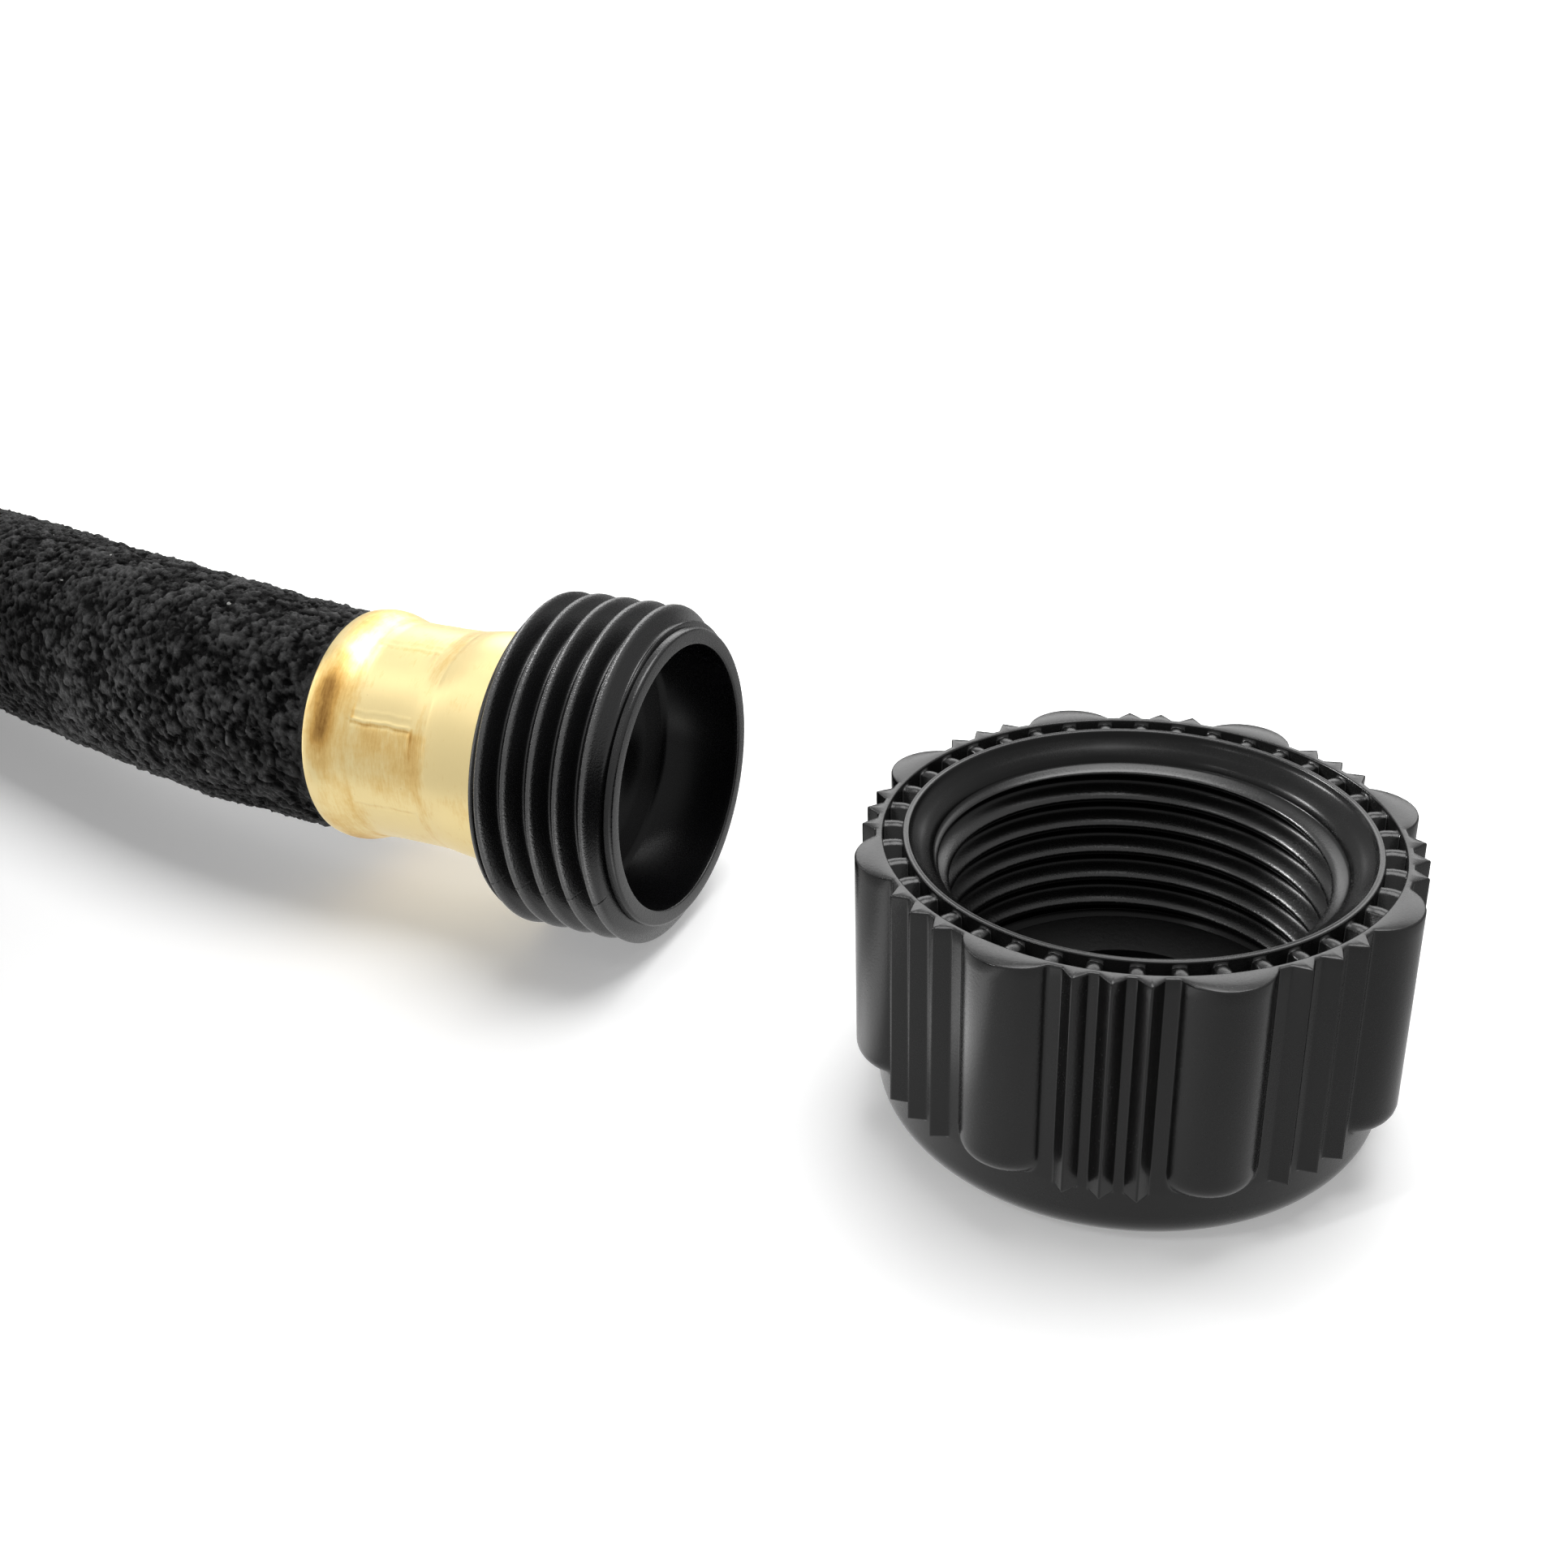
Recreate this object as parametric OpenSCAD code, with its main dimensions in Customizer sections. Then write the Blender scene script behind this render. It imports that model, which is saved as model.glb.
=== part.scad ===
// Porous rubber soaker hose with a crimped male outlet coupling, its loose
// end cap, and a crimped swivel-nut inlet coupling.
// Millimetres. The outlet points along +X, +Z is up, and the origin is on the
// outlet's axis where its full thread starts. Everything lies on one flat
// surface that the outlet's thread rests on.

/* [Hose] */
// Length of hose between the two couplings, crimped ends included
hose_length = 7620; // [7450:10:7700]
// Outside diameter of the porous hose
hose_od = 19.4; // [19:0.1:19.6]
// Outside diameter of the hose where a ferrule's lip holds it
gripped_od = 18.4; // [18:0.1:18.6]
// Inside diameter of the porous hose
hose_bore = 12.7; // [12:0.1:13.2]

/* [Hose thread] */
// Outside diameter of the male hose thread
thread_major_d = 26.9; // [26.7:0.05:27.1]
// Length from the start of the full male thread to the coupling's back
male_thread_len = 10.6; // [10:0.1:12]
// Difference in diameter between the female and the male thread
thread_clearance = 0.4; // [0.3:0.05:0.6]
// Width of the smooth lead-in bevel of a female thread, along its axis
female_bevel = 2.4; // [1.8:0.1:2.8]

/* [Outlet coupling] */
// Diameter of the plain rim in front of the male thread
rim_d = 23.8; // [23.2:0.1:24.2]
// Length of that plain rim
rim_len = 0.7; // [0.6:0.1:1.4]
// Length of the chamfer that runs the thread out at the rim
thread_chamfer = 0.5; // [0.4:0.1:1]
// Diameter of the outlet's mouth
mouth_d = 21.2; // [20.4:0.1:21.6]
// Depth of the outlet's mouth before it narrows
mouth_depth = 6.5; // [5:0.5:8]
// Rounding of the coupling's back edge
back_round = 0.5; // [0.3:0.1:0.8]

/* [Crimped stem] */
// Diameter of the water passage through a stem
stem_bore = 9.6; // [9:0.1:10]
// Diameter of a stem over its barbs
barb_d = 13.6; // [13.4:0.1:13.8]
// Diameter of a stem between its barbs
barb_root_d = 12.2; // [11.8:0.1:12.6]
// Number of barbs on a stem
barb_count = 3; // [2:1:3]
// Distance from one barb to the next
barb_pitch = 4.2; // [4:0.1:4.4]
// Diameter of the plain neck in front of the barbs
neck_d = 17.2; // [16.9:0.1:17.3]
// Length of that neck inside the ferrule
neck_inside = 1.4; // [1:0.1:1.8]

/* [Ferrule] */
// Length of a brass ferrule
ferrule_len = 17.4; // [17:0.1:18.5]
// Thickness of the ferrule's wall
ferrule_wall = 0.5; // [0.4:0.05:0.55]
// Outside diameter of the ferrule where it meets the coupling
flare_d = 18.9; // [18.7:0.1:19.2]
// Length of that wider front part
flare_len = 5.2; // [4.6:0.1:5.6]
// Outside diameter of the crimped waist
waist_d = 18.1; // [17.9:0.05:18.3]
// Length of the crimped waist
waist_len = 6.4; // [6:0.1:7]
// Outward roll of the lip round the hose
lip_roll = 0.55; // [0.4:0.05:0.7]

/* [Moulded grip of the cap and the nut] */
// Height of the cap, and length of the nut
grip_h = 20.4; // [20:0.2:23]
// Diameter of the round body between the grip's lobes
body_d = 35; // [34.8:0.2:36]
// Rounding of the body's bottom edge
body_round = 2.5; // [1.5:0.1:3]
// Number of lobes
lobe_count = 8; // [6:1:8]
// Diameter over the lobes
lobe_d = 38.2; // [37.8:0.1:38.6]
// Radius of a lobe's outline
lobe_round = 3.3; // [3:0.1:3.6]
// Height at which lobes and ribs start above the closed end
lobe_start = 4.5; // [4:0.1:6]
// Number of pointed ribs between two lobes
ribs_between = 3; // [2:1:3]
// Angle from one rib to the next
rib_step = 7.2; // [6.6:0.2:7.6]
// Height of a rib's point above the body
rib_h = 0.85; // [0.6:0.05:1]
// Width of a rib at its foot
rib_w = 1.6; // [1.3:0.1:1.8]
// Diameter of the mouth at its sharp inner rim
grip_mouth_d = 30.4; // [30:0.1:30.6]
// Wall of the inner rim beside the channel
rim_wall = 0.7; // [0.5:0.05:0.8]
// Wall of the body outside the channel
skirt_wall = 0.5; // [0.4:0.05:0.6]
// Depth of the moulded channel in the rim
channel_depth = 2.5; // [1.5:0.1:3]
// Number of bars that bridge the channel
bar_count = 40; // [32:4:40]
// Width of a bar
bar_w = 1.1; // [0.8:0.1:1.3]
// How far the bars stay below the rim
bar_drop = 0.3; // [0.2:0.1:0.6]

/* [End cap] */
// Thickness of the cap's closed end
cap_end_t = 3; // [2.6:0.1:4]
// Place of the standing cap along the outlet's axis
cap_x = 39.3; // [39:0.1:60]
// Place of the standing cap across the outlet's axis
cap_y = -8.3; // [-20:0.1:10]
// Turn of the cap on its base
cap_turn = 31.5; // [0:0.5:45]

/* [Washers and restrictor] */
// Outside diameter of the flat washers
washer_od = 25.4; // [25:0.1:25.6]
// Hole of the flat washers
washer_id = 16; // [15.6:0.1:16.2]
// Thickness of the flat washers
washer_t = 3; // [2.6:0.1:3.2]
// Diameter of the flow restrictor disc
restrictor_d = 16.6; // [16.3:0.1:17]
// Thickness of the flow restrictor disc
restrictor_t = 1.2; // [1:0.1:1.4]
// Diameter of the hole that sets the flow
orifice_d = 2.5; // [1.5:0.1:4]

/* [Inlet coupling] */
// Diameter of the stem's flange inside the nut
stem_flange_d = 25.2; // [24.8:0.1:25.4]
// Thickness of that flange
stem_flange_t = 2.2; // [2:0.1:2.6]
// Length of the nut's back wall round the stem
nut_back_t = 2.85; // [2.4:0.05:3.2]
// Difference in diameter between the nut's back hole and the stem's neck
nut_clearance = 0.6; // [0.4:0.1:0.8]
// Play between the nut's back and the ferrule
nut_play = 0.5; // [0.3:0.1:0.8]

/* [Put-away coil] */
// Turns in each of the coil's layers
turns_per_layer = 2.75; // [2.75:1:2.75]
// Gap between neighbouring turns
coil_gap = 0.5; // [0.5:0.1:0.7]

/* [Hidden] */

$fn = 96;
cut = 0.5;          // how far a cutting shape runs past a face
seat = 0.05;        // gap between pieces that seat on each other
bed = 0.15;         // how far a bar or rib runs into the wall that carries it

floor_z = -thread_major_d / 2;
female_d = thread_major_d + thread_clearance;
pocket_d = washer_od + 0.4;

// Stations along the outlet's own axis, zero where the full thread starts
mouth_z = rim_len + thread_chamfer;
outlet_back_z = -male_thread_len;
outlet_seat_z = outlet_back_z - seat;
outlet_lip_z = outlet_seat_z - ferrule_len;

// Stations along the inlet's own axis, zero at the nut's mouth
bore_len = grip_h - nut_back_t - 2 * seat - stem_flange_t - seat - washer_t;
washer_z = -bore_len - washer_t;
flange_z = washer_z - seat;
nut_back_z = -grip_h;
inlet_seat_z = nut_back_z - nut_play;
inlet_lip_z = inlet_seat_z - ferrule_len;

// Stations along a crimped joint, zero at the ferrule's front edge
hose_start_z = -neck_inside - 0.1;
stem_end_z = -ferrule_len + 0.9;
waist_front_z = -flare_len - 2.2;
waist_back_z = waist_front_z - waist_len;
lip_front_z = waist_back_z - 1.5;
lip_inner_d = gripped_od + 2 * seat;
flare_inner_d = flare_d - 2 * ferrule_wall;
waist_inner_d = waist_d - 2 * ferrule_wall;
lip_d = gripped_od + 2 * lip_roll;
stem_tip_d = stem_bore + 1.6;
stem_edge = 0.6;    // chamfer of the stem's tip

// Coil: two pairs of layers, each spiralling in and out again
LAYERS = 4;
RINGS_PER_TURN = 24;
coil_pitch = hose_od + coil_gap;
coil_turns = LAYERS * turns_per_layer;
coil_z = floor_z + hose_od / 2 + 0.1;
coil_top_z = coil_z + (LAYERS - 1) * coil_pitch;
coil_x = -158;
coil_entry_y = 21;
bundle_w = turns_per_layer * coil_pitch;

// Place of the inlet: its nut lies on the coil's top layer
inlet_lip = [-272, -112, coil_top_z + hose_od / 2 + lobe_d / 2 + 0.1];
inlet_mouth = inlet_lip + [0, inlet_lip_z, 0];

// Route of the hose where it isn't coiled, from coupling to coil to coupling
run_start = [outlet_lip_z, 0, 0];
run_middle = [
    [-36, 0.6, 0], [-44, 2, -0.1], [-53, 4.3, -0.4], [-63, 7.4, -1],
    [-75, 11.4, -1.8], [-89, 15.6, -2.7], [-105, 19.1, -3.3], [-121, 20.7, -3.6]
];
run_end = [coil_x + hose_od, coil_entry_y, coil_z];
tail_start = [coil_x - hose_od, coil_entry_y, coil_top_z];
tail_middle = [
    [-199, 16.4, 58.2], [-219.5, 7.4, 62.8], [-240, -8.4, 69.6],
    [-256.5, -31.2, 75.9], [-267, -57, 80.8], [-271.4, -84, 84.2], [-272, -100, 84.9]
];
run_points = concat([run_start], run_middle, [run_end]);
tail_points = concat([tail_start], tail_middle, [inlet_lip]);

function path_length(p, i = 1) =
    i < len(p) ? norm(p[i] - p[i - 1]) + path_length(p, i + 1) : 0;

// The coil takes what the free stretches and the crimped ends leave
ends_len = 2 * (ferrule_len + hose_start_z);
leads_len = 2 * hose_od;
coiled_len = hose_length - ends_len - leads_len
    - path_length(run_points) - path_length(tail_points);
coil_mean_r = coiled_len / (coil_turns * 2 * PI);
coil_outer_r = coil_mean_r + bundle_w / 2;
coil_inner_r = coil_mean_r - bundle_w / 2;
coil_y = coil_entry_y - coil_outer_r;

// Radius after t turns: in, out, in and out again at one steady rate
function coil_radius(t) =
    let (layer = min(floor(t / turns_per_layer), LAYERS - 1),
         into = t - layer * turns_per_layer)
    layer % 2 == 0 ? coil_outer_r - coil_pitch * into
                   : coil_inner_r + coil_pitch * into;

// Smooth step from 0 to 1 over the half turn centred on turn t0
function climb(t, t0) =
    let (u = max(0, min(1, (t - t0) / 0.5 + 0.5)))
    u * u * (3 - 2 * u);

function coil_height(t) =
    coil_z + coil_pitch * (climb(t, turns_per_layer)
        + climb(t, 2 * turns_per_layer) + climb(t, 3 * turns_per_layer));

function coil_point(t) =
    [coil_x + coil_radius(t) * cos(90 + 360 * t),
     coil_y + coil_radius(t) * sin(90 + 360 * t),
     coil_height(t)];

coil_steps = round(coil_turns * RINGS_PER_TURN);
coil_centres = [for (i = [0:coil_steps]) coil_point(i * coil_turns / coil_steps)];
coil_points = concat([run_end], coil_centres, [tail_start]);

// Least gap of the coil to itself, between points more than half a turn apart
coil_least_gap = min([
    for (i = [0:coil_steps]) for (j = [i + RINGS_PER_TURN / 2:1:coil_steps])
        norm(coil_centres[i] - coil_centres[j])
]) - hose_od;
echo(coil_least_gap = coil_least_gap);
echo(coil_outer_r = coil_outer_r, coil_inner_r = coil_inner_r);
echo(hose_route = path_length(run_points) + path_length(coil_points)
    + path_length(tail_points) + ends_len);

// --- Hose -----------------------------------------------------------------

function unit(v) = v / norm(v);

// Direction of the path at point i; the two ends are square to what they meet
function direction(p, i, first, last) =
    i == 0 ? first
    : i == len(p) - 1 ? last
    : unit(unit(p[i + 1] - p[i]) + unit(p[i] - p[i - 1]));

// Ring of points round one centre, square to the path, with a point on top
function ring(centre, dir, r, sides) =
    let (side = unit(cross(dir, [0, 0, 1])), up = cross(side, dir))
    [for (k = [0:sides - 1])
        centre + r * (sin(360 * k / sides) * side + cos(360 * k / sides) * up)];

// Radius of the hose at the ring that many rings out of a ferrule
function swollen(rings_out) =
    let (share = rings_out == 0 ? 0 : rings_out == 1 ? 0.6 : 1)
    (gripped_od + share * (hose_od - gripped_od)) / 2;

// Closed tube swept along a list of centres, with a radius for each centre
// and triangle faces
module tube(centres, radii, sides, first_dir, last_dir) {
    rings = [for (i = [0:len(centres) - 1])
        each ring(centres[i], direction(centres, i, first_dir, last_dir),
                  radii[i], sides)];
    last = (len(centres) - 1) * sides;
    walls = [for (i = [0:len(centres) - 2]) for (k = [0:sides - 1])
        let (a = i * sides + k, b = i * sides + (k + 1) % sides)
        each [[a, a + sides, b], [b, a + sides, b + sides]]];
    caps = [for (k = [1:sides - 2])
        each [[0, k, k + 1], [last, last + k + 1, last + k]]];
    polyhedron(rings, concat(walls, caps));
}

module hose_run() {
    radii = [for (i = [0:len(run_points) - 1]) swollen(i)];
    color("#242424") tube(run_points, radii, 12, [-1, 0, 0], [-1, 0, 0]);
}

module hose_coil() {
    radii = [for (p = coil_points) hose_od / 2];
    color("#242424") tube(coil_points, radii, 6, [-1, 0, 0], [-1, 0, 0]);
}

module hose_tail() {
    radii = [for (i = [0:len(tail_points) - 1]) swollen(len(tail_points) - 1 - i)];
    color("#242424") tube(tail_points, radii, 12, [-1, 0, 0], [0, -1, 0]);
}

// --- Crimped joint, shared by both couplings -------------------------------
// Zero is the ferrule's front edge; the hose comes out towards -Z.

// Outline of the barbs from front to back, each a step up and a slope down
function barbs(grow) = [
    for (k = [0:barb_count - 1]) each [
        [barb_root_d / 2 + grow, -neck_inside - 0.4 - k * barb_pitch],
        [barb_d / 2 + grow, -neck_inside - 0.4 - k * barb_pitch]
    ],
    [barb_root_d / 2 + grow, -neck_inside - 0.4 - barb_count * barb_pitch]
];

module stem_shank() {
    rotate_extrude()
        polygon(concat(
            [[stem_bore / 2, 0], [neck_d / 2, 0], [neck_d / 2, -neck_inside],
             [barb_root_d / 2, -neck_inside]],
            barbs(0),
            [[barb_root_d / 2, stem_end_z + stem_edge], [stem_tip_d / 2, stem_end_z],
             [stem_bore / 2, stem_end_z]]
        ));
}

module hose_end() {
    rotate_extrude()
        polygon(concat(
            [[barb_root_d / 2 + seat, hose_start_z]],
            barbs(seat),
            [[barb_root_d / 2 + seat, stem_end_z + stem_edge - seat],
             [hose_bore / 2 - 0.2, stem_end_z - seat],
             [hose_bore / 2, -ferrule_len], [gripped_od / 2, -ferrule_len],
             [gripped_od / 2, lip_front_z], [waist_inner_d / 2 - seat, waist_back_z],
             [waist_inner_d / 2 - seat, waist_front_z],
             [flare_inner_d / 2 - seat, -flare_len],
             [flare_inner_d / 2 - seat, hose_start_z]]
        ));
}

module ferrule() {
    rotate_extrude()
        polygon([
            [flare_inner_d / 2, 0], [flare_d / 2, 0], [flare_d / 2, -flare_len],
            [waist_d / 2, waist_front_z], [waist_d / 2, waist_back_z],
            [lip_d / 2 - 0.15, lip_front_z + 0.1], [lip_d / 2, lip_front_z - 0.9],
            [lip_d / 2 - 0.05, -ferrule_len + 0.25], [lip_d / 2 - 0.25, -ferrule_len],
            [lip_inner_d / 2, -ferrule_len], [lip_inner_d / 2, lip_front_z],
            [waist_inner_d / 2, waist_back_z], [waist_inner_d / 2, waist_front_z],
            [flare_inner_d / 2, -flare_len]
        ]);
}

// --- Moulded grip, shared by the cap and the nut ----------------------------
// The closed end is at zero and the mouth at grip_h.

module lobes() {
    intersection() {
        linear_extrude(grip_h)
            for (k = [0:lobe_count - 1])
                rotate(k * 360 / lobe_count)
                    translate([lobe_d / 2 - lobe_round, 0]) circle(lobe_round);
        rotate_extrude() {
            translate([0, lobe_start + 1]) square([lobe_d / 2, grip_h - lobe_start - 1]);
            translate([0, lobe_start]) square([lobe_d / 2 - 1, 2]);
            translate([lobe_d / 2 - 1, lobe_start + 1]) circle(1, $fn = 48);
        }
    }
}

module ribs() {
    translate([0, 0, lobe_start])
        linear_extrude(grip_h - lobe_start)
            for (k = [0:lobe_count - 1]) for (j = [0:ribs_between - 1])
                rotate((k + 0.5) * 360 / lobe_count + (j - (ribs_between - 1) / 2) * rib_step)
                    polygon([
                        [body_d / 2 - bed, -rib_w / 2], [body_d / 2 + rib_h, 0],
                        [body_d / 2 - bed, rib_w / 2]
                    ]);
}

module round_body() {
    rotate_extrude() {
        translate([0, body_round]) square([body_d / 2, grip_h - body_round]);
        square([body_d / 2 - body_round, grip_h / 2]);
        translate([body_d / 2 - body_round, body_round]) circle(body_round);
    }
}

channel_in = grip_mouth_d / 2 + rim_wall;
channel_out = body_d / 2 - skirt_wall;

module channel() {
    translate([0, 0, grip_h - channel_depth])
        difference() {
            cylinder(h = channel_depth + cut, r = channel_out);
            translate([0, 0, -cut]) cylinder(h = channel_depth + 3 * cut, r = channel_in);
        }
}

module bars() {
    for (k = [0:bar_count - 1])
        rotate(k * 360 / bar_count)
            translate([channel_in - bed, -bar_w / 2, grip_h - channel_depth - bed])
                cube([channel_out - channel_in + 2 * bed, bar_w,
                      channel_depth + bed - bar_drop]);
}

// Mouth bevel, thread bore and washer pocket, cut down from the mouth
module mouth_cut(bore_depth, pocket_depth) {
    translate([0, 0, grip_h])
        rotate_extrude()
            polygon([
                [0, cut], [grip_mouth_d / 2, cut], [grip_mouth_d / 2, 0],
                [female_d / 2, -female_bevel], [female_d / 2, -bore_depth],
                [pocket_d / 2, -bore_depth], [pocket_d / 2, -pocket_depth],
                [0, -pocket_depth]
            ]);
}

module grip(bore_depth, pocket_depth) {
    difference() {
        union() {
            round_body();
            lobes();
            ribs();
        }
        mouth_cut(bore_depth, pocket_depth);
        channel();
    }
    bars();
}

module washer() {
    difference() {
        cylinder(h = washer_t, d = washer_od);
        translate([0, 0, -cut]) cylinder(h = washer_t + 2 * cut, d = washer_id);
    }
}

// --- Places -----------------------------------------------------------------

module at_outlet() {
    rotate([0, 90, 0]) children();
}

module at_inlet() {
    translate(inlet_mouth) rotate([90, 0, 0]) children();
}

module at_cap() {
    translate([cap_x, cap_y, floor_z]) rotate(cap_turn) children();
}

// --- Outlet -----------------------------------------------------------------

module outlet_coupling() {
    color("#1e1e1e") at_outlet() {
        rotate_extrude()
            polygon([
                [mouth_d / 2, mouth_z], [rim_d / 2, mouth_z],
                [rim_d / 2, thread_chamfer], [thread_major_d / 2, 0],
                [thread_major_d / 2, outlet_back_z + back_round],
                [thread_major_d / 2 - 0.3 * back_round, outlet_back_z + 0.3 * back_round],
                [thread_major_d / 2 - back_round, outlet_back_z],
                [stem_bore / 2, outlet_back_z],
                [stem_bore / 2, mouth_z - mouth_depth - 3],
                [mouth_d / 2, mouth_z - mouth_depth]
            ]);
        translate([0, 0, outlet_back_z - seat]) {
            stem_shank();
            difference() {
                cylinder(h = 2 * seat, d = neck_d);
                translate([0, 0, -cut]) cylinder(h = 2 * cut + seat, d = stem_bore);
            }
        }
    }
}

module outlet_hose_end() {
    color("#242424") at_outlet() translate([0, 0, outlet_seat_z]) hose_end();
}

module outlet_ferrule() {
    color("#c9a227") at_outlet() translate([0, 0, outlet_seat_z]) ferrule();
}

// --- Inlet ------------------------------------------------------------------

module inlet_stem() {
    color("#1e1e1e") at_inlet() {
        difference() {
            union() {
                translate([0, 0, flange_z - stem_flange_t])
                    cylinder(h = stem_flange_t, d = stem_flange_d);
                translate([0, 0, inlet_seat_z])
                    cylinder(h = flange_z - inlet_seat_z - cut, d = neck_d);
            }
            translate([0, 0, inlet_seat_z - cut])
                cylinder(h = -inlet_seat_z, d = stem_bore);
            translate([0, 0, flange_z - restrictor_t - seat])
                cylinder(h = restrictor_t + cut, d = restrictor_d + 4 * seat);
        }
        translate([0, 0, inlet_seat_z]) stem_shank();
    }
}

module inlet_hose_end() {
    color("#242424") at_inlet() translate([0, 0, inlet_seat_z]) hose_end();
}

module inlet_ferrule() {
    color("#c9a227") at_inlet() translate([0, 0, inlet_seat_z]) ferrule();
}

module inlet_nut() {
    color("#2f2f2f") at_inlet()
        translate([0, 0, nut_back_z])
            difference() {
                grip(bore_len, grip_h - nut_back_t);
                translate([0, 0, -cut])
                    cylinder(h = nut_back_t + 2 * cut, d = neck_d + nut_clearance);
            }
}

module inlet_washer() {
    color("#151515") at_inlet() translate([0, 0, washer_z]) washer();
}

module flow_restrictor() {
    color("#3a3a3a") at_inlet()
        translate([0, 0, flange_z - restrictor_t])
            difference() {
                cylinder(h = restrictor_t, d = restrictor_d);
                translate([0, 0, -cut]) cylinder(h = restrictor_t + 2 * cut, d = orifice_d);
            }
}

// --- End cap ----------------------------------------------------------------

module end_cap() {
    color("#2f2f2f") at_cap()
        grip(grip_h - cap_end_t - washer_t - 2 * seat, grip_h - cap_end_t);
}

module cap_washer() {
    color("#151515") at_cap() translate([0, 0, cap_end_t + seat]) washer();
}

hose_run();
hose_coil();
hose_tail();
outlet_hose_end();
inlet_hose_end();
outlet_ferrule();
inlet_ferrule();
outlet_coupling();
inlet_stem();
inlet_nut();
inlet_washer();
flow_restrictor();
end_cap();
cap_washer();
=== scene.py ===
"""A porous rubber soaker hose: its crimped outlet with a moulded thread, the rest of the hose put away
in a pile of turns with a swivel-nut inlet, and a loose end cap. Lengths in this file are millimetres
until a mesh or a lamp is made; the frame is the CAD model's: +X out of the outlet, +Z up."""

import math

import bpy
import numpy as np
from mathutils import Matrix


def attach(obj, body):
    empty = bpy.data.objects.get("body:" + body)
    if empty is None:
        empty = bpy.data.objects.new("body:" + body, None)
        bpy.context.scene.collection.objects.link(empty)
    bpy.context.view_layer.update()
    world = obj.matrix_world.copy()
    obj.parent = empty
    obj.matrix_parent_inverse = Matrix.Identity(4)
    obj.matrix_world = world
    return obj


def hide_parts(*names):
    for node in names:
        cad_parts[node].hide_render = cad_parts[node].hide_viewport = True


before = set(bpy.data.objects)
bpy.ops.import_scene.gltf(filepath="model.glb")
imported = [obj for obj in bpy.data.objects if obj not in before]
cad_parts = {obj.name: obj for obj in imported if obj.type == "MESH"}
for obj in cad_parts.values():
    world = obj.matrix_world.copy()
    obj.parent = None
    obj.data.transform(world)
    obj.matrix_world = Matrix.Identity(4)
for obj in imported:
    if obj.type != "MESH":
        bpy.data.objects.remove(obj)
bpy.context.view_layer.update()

MM = 0.001
FLOOR = -13.45

# Sizes that the CAD model has too
HOSE_R = 9.7
GRIPPED_R = 9.2
LIP_X = -28.05
COIL_X = -158.0
ENTRY_Y = 21.0
PITCH = 19.9
TURNS_PER_LAYER = 2.75
LAYERS = 4
OUTER_R = 132.283
COIL_Z = FLOOR + HOSE_R + 0.1
TOP_Z = COIL_Z + (LAYERS - 1) * PITCH
INLET_LIP = np.array([-272.0, -112.0, TOP_Z + HOSE_R + 19.1 + 0.1])
INLET_MOUTH = INLET_LIP + [0, -38.3, 0]
CAP_AT = np.array([39.3, -8.3, FLOOR])
CAP_TURN = 31.5
THREAD_PITCH = 25.4 / 11.5


# --- Camera -------------------------------------------------------------------

def make_camera(place, yaw, pitch, roll, lens):
    """Camera at a place in mm. Yaw 0 looks along +Y, pitch is downwards, roll turns right towards up."""
    yaw, pitch, roll = math.radians(yaw), math.radians(pitch), math.radians(roll)
    forward = np.array([math.sin(yaw) * math.cos(pitch), math.cos(yaw) * math.cos(pitch), -math.sin(pitch)])
    level = np.array([math.cos(yaw), -math.sin(yaw), 0.0])
    above = np.cross(level, forward)
    right = math.cos(roll) * level + math.sin(roll) * above
    up = math.cos(roll) * above - math.sin(roll) * level
    data = bpy.data.cameras.new("camera")
    data.sensor_width = 36
    data.lens = lens
    data.clip_start = 0.005
    camera = bpy.data.objects.new("camera", data)
    bpy.context.scene.collection.objects.link(camera)
    matrix = np.eye(4)
    matrix[:3, 0], matrix[:3, 1], matrix[:3, 2] = right, up, -forward
    matrix[:3, 3] = np.array(place) * MM
    camera.matrix_world = Matrix(matrix.tolist())
    bpy.context.scene.camera = camera


make_camera((62.6, -117.3, 68.7), yaw=-24.19, pitch=27.74, roll=-1.80, lens=43.47)


# --- Meshes from arrays -------------------------------------------------------

def make_mesh(name, grids, attributes=None):
    """One object from (rows, columns, 3) arrays in mm. Quads join neighbours, and each row closes into a
    ring. attributes gives each name a list of (rows, columns) arrays, one per grid."""
    corners, quads, count = [], [], 0
    for points in grids:
        rows, columns = points.shape[:2]
        index = np.arange(rows * columns).reshape(rows, columns) + count
        after = np.roll(index, -1, axis=1)
        quads.append(np.stack([index[:-1], after[:-1], after[1:], index[1:]], axis=-1).reshape(-1, 4))
        corners.append(points.reshape(-1, 3))
        count += rows * columns
    corners = np.concatenate(corners).astype(np.float32) * MM
    quads = np.concatenate(quads).astype(np.int32)
    mesh = bpy.data.meshes.new(name)
    mesh.vertices.add(len(corners))
    mesh.vertices.foreach_set("co", corners.ravel())
    mesh.loops.add(quads.size)
    mesh.loops.foreach_set("vertex_index", quads.ravel())
    mesh.polygons.add(len(quads))
    mesh.polygons.foreach_set("loop_start", np.arange(0, quads.size, 4, dtype=np.int32))
    mesh.polygons.foreach_set("use_smooth", np.ones(len(quads), bool))
    for key, arrays in (attributes or {}).items():
        values = np.concatenate([a.ravel() for a in arrays]).astype(np.float32)
        mesh.attributes.new(key, "FLOAT", "POINT").data.foreach_set("value", values)
    mesh.update(calc_edges=True)
    mesh.validate()
    made = bpy.data.objects.new(name, mesh)
    bpy.context.scene.collection.objects.link(made)
    return made


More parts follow.
